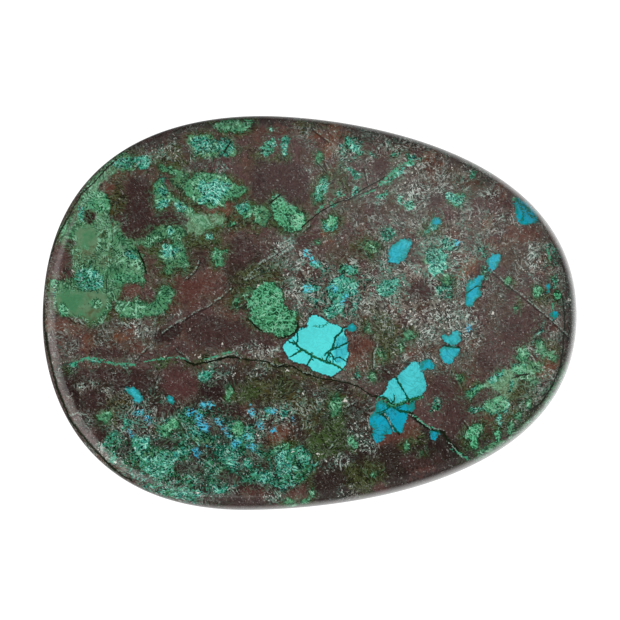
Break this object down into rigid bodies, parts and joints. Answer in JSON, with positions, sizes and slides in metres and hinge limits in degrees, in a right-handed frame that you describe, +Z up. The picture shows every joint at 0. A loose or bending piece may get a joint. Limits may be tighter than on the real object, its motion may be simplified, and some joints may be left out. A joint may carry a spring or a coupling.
{
  "type": "chrysocolla worry stone",
  "caption": "Flat egg-shaped polished stone with a rounded rim, a shallow thumb hollow on top and a flat underside, held and rubbed with the thumb.",
  "frame": {"origin": "on the flat underside, below the middle of the stone's bounding box", "axes": "+X along the stone's length, towards its narrow end; +Z up, out of the thumb hollow; +Y across the stone, towards the far side"},
  "size_m": [0.045, 0.0332, 0.0074],
  "materials": {
    "polished_rock": "high polish; dark brown host rock with green malachite and blue-green chrysocolla patches, thin dark green cracks and fine pale grains"
  },
  "bodies": {
    "root": {"stone": "polished_rock"}
  },
  "joints": []
}
